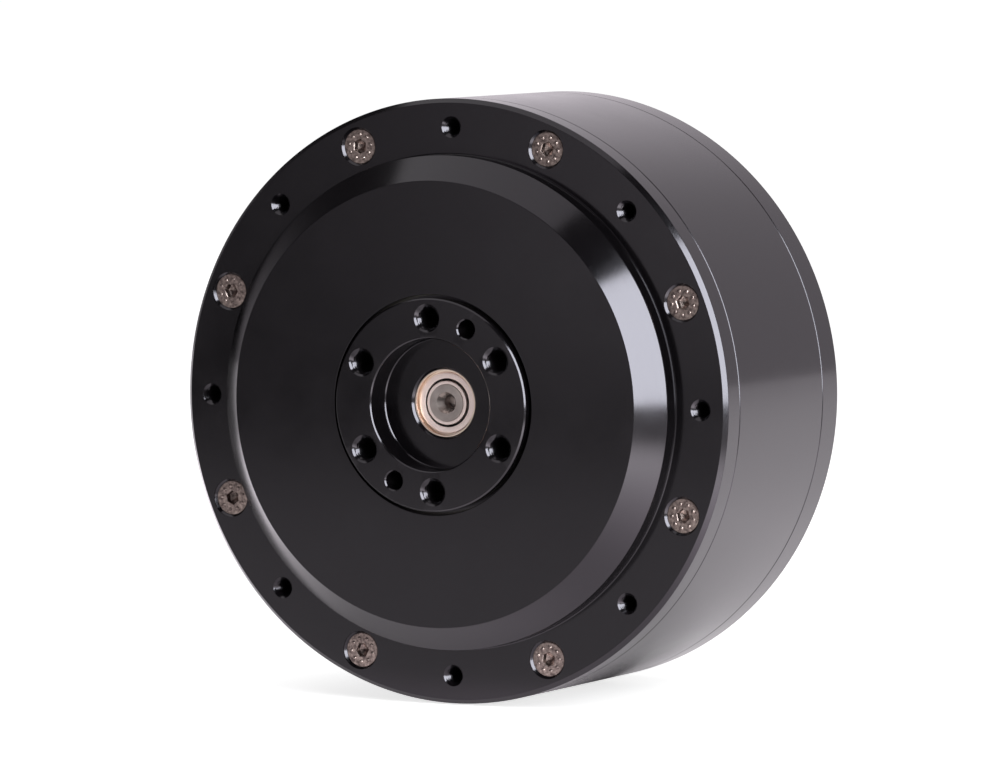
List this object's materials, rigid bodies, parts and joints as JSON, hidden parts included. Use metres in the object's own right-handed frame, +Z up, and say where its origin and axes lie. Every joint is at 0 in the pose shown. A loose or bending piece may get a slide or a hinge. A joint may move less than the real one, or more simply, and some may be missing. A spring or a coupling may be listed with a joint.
{
  "type": "robot joint actuator",
  "caption": "Round joint actuator: outrunner motor and two-stage planetary gear train in one short case, with a threaded output flange and a front mounting ring.",
  "frame": {"origin": "centre of the front mounting face, on the output axis", "axes": "-Y out of the output flange along the output axis, +Z up, +X to the right seen from the front"},
  "size_m": [0.098, 0.0617, 0.098],
  "materials": {
    "black_anodised_aluminium": "black anodised, satin",
    "black_steel_screws": "nickel tinted steel",
    "bearing_steel": "ground and polished",
    "bearing_shield": "black rubber seal",
    "gear_steel": "ground steel",
    "shaft_steel": "ground steel",
    "aluminium_plate": "plain machined",
    "bell_steel": "zinc plated steel",
    "magnet": "nickel plated",
    "lamination_steel": "stacked laminations",
    "enamelled_copper": "enamelled winding wire",
    "lead_copper": "insulated flat copper",
    "circuit_board": "solder mask",
    "chip_plastic": "moulded epoxy",
    "capacitor_can": "drawn can",
    "yellow_nylon": "moulded",
    "gold_contact": "gold plated",
    "white_nylon": "moulded"
  },
  "bodies": {
    "case": {"front_cover": "black_anodised_aluminium", "front_cover_screws": "black_steel_screws", "housing": "black_anodised_aluminium", "rear_cover": "black_anodised_aluminium", "rear_cover_screws": "black_steel_screws", "driver_cap": "black_anodised_aluminium", "driver_cap_screws": "black_steel_screws", "output_bearing_outer_ring": "bearing_steel", "output_bearing_shields": "bearing_shield", "ring_gear": "gear_steel", "ring_gear_screws": "black_steel_screws", "gearbox_end_plate": "aluminium_plate", "gearbox_end_plate_screws": "black_steel_screws", "rotor_bearing_outer_ring": "bearing_steel", "rotor_bearing_shields": "bearing_shield", "stator_core": "lamination_steel", "stator_coils": "enamelled_copper", "phase_leads": "lead_copper", "driver_board": "circuit_board", "board_chips": "chip_plastic", "board_capacitors": "capacitor_can", "power_socket": "yellow_nylon", "power_contacts": "gold_contact", "signal_sockets": "white_nylon", "signal_pins": "gold_contact"},
    "output": {"output_flange": "black_anodised_aluminium", "carrier_plate": "aluminium_plate", "carrier_plate_screws": "black_steel_screws", "output_bearing_inner_ring": "bearing_steel", "pilot_bearing_sleeve": "bearing_steel", "pilot_bearing_outer_ring": "bearing_steel", "pilot_bearing_shields": "bearing_shield", "output_planet_pins": "bearing_steel"},
    "middle_carrier": {"middle_sun_and_carrier": "shaft_steel", "input_planet_pins": "bearing_steel", "pilot_bearing_inner_ring": "bearing_steel", "sun_bearing_outer_ring": "bearing_steel"},
    "rotor": {"rotor_shaft": "shaft_steel", "rotor_hub_screws": "black_steel_screws", "rotor_bell": "bell_steel", "rotor_magnets": "magnet", "rotor_bearing_inner_ring": "bearing_steel", "sun_bearing_inner_ring": "bearing_steel", "encoder_magnet": "magnet"},
    "output_planet_1": {"output_planet_1": "gear_steel"},
    "input_planet_1": {"input_planet_1": "gear_steel"},
    "output_planet_2": {"output_planet_2": "gear_steel"},
    "input_planet_2": {"input_planet_2": "gear_steel"},
    "output_planet_3": {"output_planet_3": "gear_steel"},
    "input_planet_3": {"input_planet_3": "gear_steel"}
  },
  "joints": [
    {"name": "output_spin", "type": "hinge", "parent": "case", "child": "output", "pos_m": [0, 0, 0], "axis": [0, -1, 0], "continuous": true},
    {"name": "middle_carrier_spin", "type": "hinge", "parent": "case", "child": "middle_carrier", "pos_m": [0, 0, 0], "axis": [0, -1, 0], "continuous": true},
    {"name": "rotor_spin", "type": "hinge", "parent": "case", "child": "rotor", "pos_m": [0, 0, 0], "axis": [0, -1, 0], "continuous": true},
    {"name": "output_planet_1_spin", "type": "hinge", "parent": "output", "child": "output_planet_1", "pos_m": [0.00676, 0.0095, 0.01271], "axis": [0, -1, 0], "continuous": true},
    {"name": "input_planet_1_spin", "type": "hinge", "parent": "middle_carrier", "child": "input_planet_1", "pos_m": [0.00676, 0.0213, 0.01271], "axis": [0, -1, 0], "continuous": true},
    {"name": "output_planet_2_spin", "type": "hinge", "parent": "output", "child": "output_planet_2", "pos_m": [-0.01439, 0.0095, -0.0005], "axis": [0, -1, 0], "continuous": true},
    {"name": "input_planet_2_spin", "type": "hinge", "parent": "middle_carrier", "child": "input_planet_2", "pos_m": [-0.01439, 0.0213, -0.0005], "axis": [0, -1, 0], "continuous": true},
    {"name": "output_planet_3_spin", "type": "hinge", "parent": "output", "child": "output_planet_3", "pos_m": [0.00763, 0.0095, -0.01221], "axis": [0, -1, 0], "continuous": true},
    {"name": "input_planet_3_spin", "type": "hinge", "parent": "middle_carrier", "child": "input_planet_3", "pos_m": [0.00763, 0.0213, -0.01221], "axis": [0, -1, 0], "continuous": true}
  ],
  "couplings": [
    {"joint": "middle_carrier_spin", "follows": "output_spin", "ratio": 8},
    {"joint": "rotor_spin", "follows": "output_spin", "ratio": 64},
    {"joint": "output_planet_1_spin", "follows": "output_spin", "ratio": -2.3333},
    {"joint": "input_planet_1_spin", "follows": "output_spin", "ratio": -18.667},
    {"joint": "output_planet_2_spin", "follows": "output_spin", "ratio": -2.3333},
    {"joint": "input_planet_2_spin", "follows": "output_spin", "ratio": -18.667},
    {"joint": "output_planet_3_spin", "follows": "output_spin", "ratio": -2.3333},
    {"joint": "input_planet_3_spin", "follows": "output_spin", "ratio": -18.667}
  ]
}
